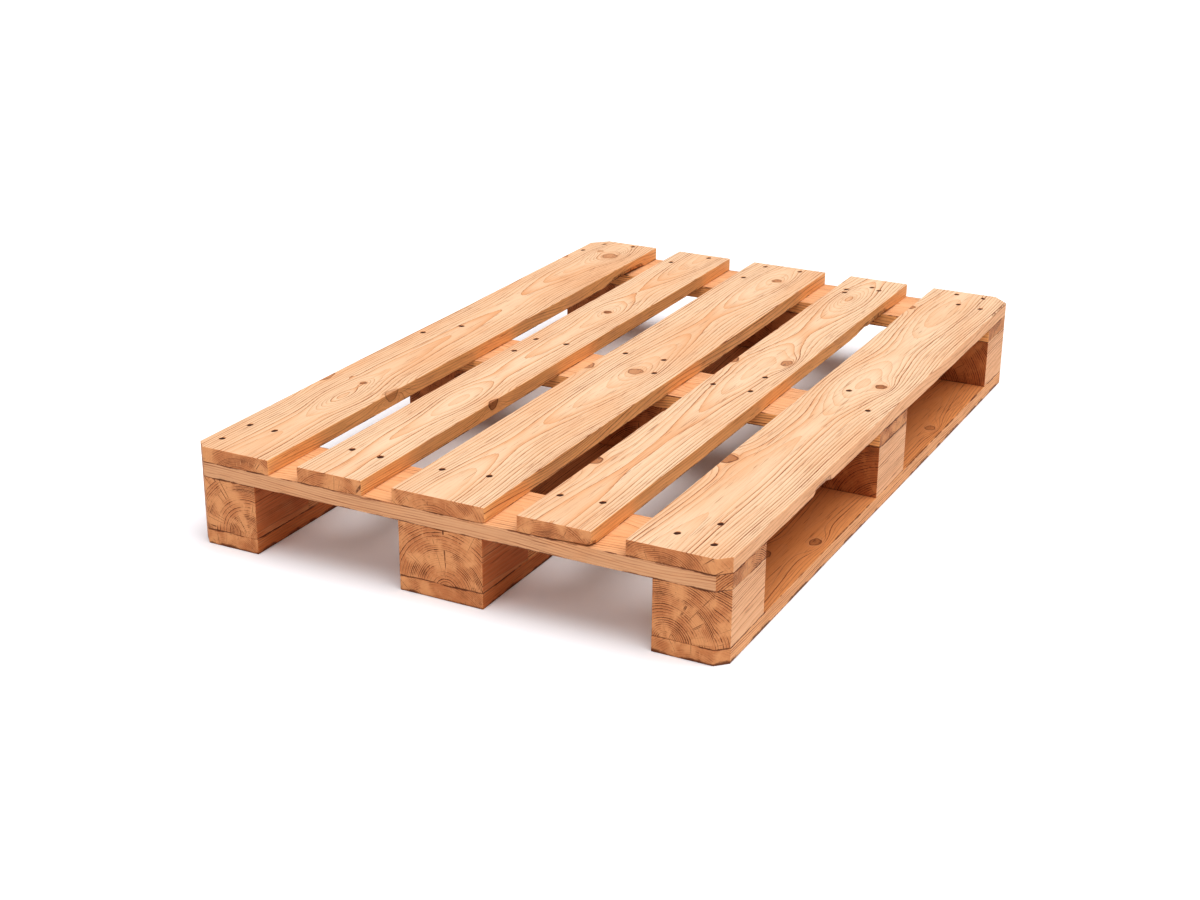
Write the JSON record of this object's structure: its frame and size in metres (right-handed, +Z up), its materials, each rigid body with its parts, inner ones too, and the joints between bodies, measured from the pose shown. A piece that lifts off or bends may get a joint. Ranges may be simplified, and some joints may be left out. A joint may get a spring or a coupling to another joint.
{
  "type": "wooden pallet",
  "caption": "Four-way wooden block pallet, 1200 by 800 mm, with a slatted deck, cross boards, blocks, bottom boards and sunken nails.",
  "frame": {"origin": "on the floor under the middle of the pallet", "axes": "+Z up, +Y along the 1200 mm length towards the rear end, +X across the 800 mm width towards the right side"},
  "size_m": [0.8, 1.2, 0.144],
  "materials": {
    "deck_wood": "matte",
    "block_wood": "matte",
    "nail_steel": "dull, browned"
  },
  "bodies": {
    "root": {"deck_board_left": "deck_wood", "deck_board_left_inner": "deck_wood", "deck_board_centre": "deck_wood", "deck_board_right_inner": "deck_wood", "deck_board_right": "deck_wood", "cross_board_front": "deck_wood", "cross_board_middle": "deck_wood", "cross_board_rear": "deck_wood", "block_front_left": "block_wood", "block_front_centre": "block_wood", "block_front_right": "block_wood", "block_middle_left": "block_wood", "block_middle_centre": "block_wood", "block_middle_right": "block_wood", "block_rear_left": "block_wood", "block_rear_centre": "block_wood", "block_rear_right": "block_wood", "bottom_board_left": "deck_wood", "bottom_board_centre": "deck_wood", "bottom_board_right": "deck_wood", "deck_nails_left": "nail_steel", "deck_nails_left_inner": "nail_steel", "deck_nails_centre": "nail_steel", "deck_nails_right_inner": "nail_steel", "deck_nails_right": "nail_steel", "bottom_nails_left": "nail_steel", "bottom_nails_centre": "nail_steel", "bottom_nails_right": "nail_steel"}
  },
  "joints": []
}
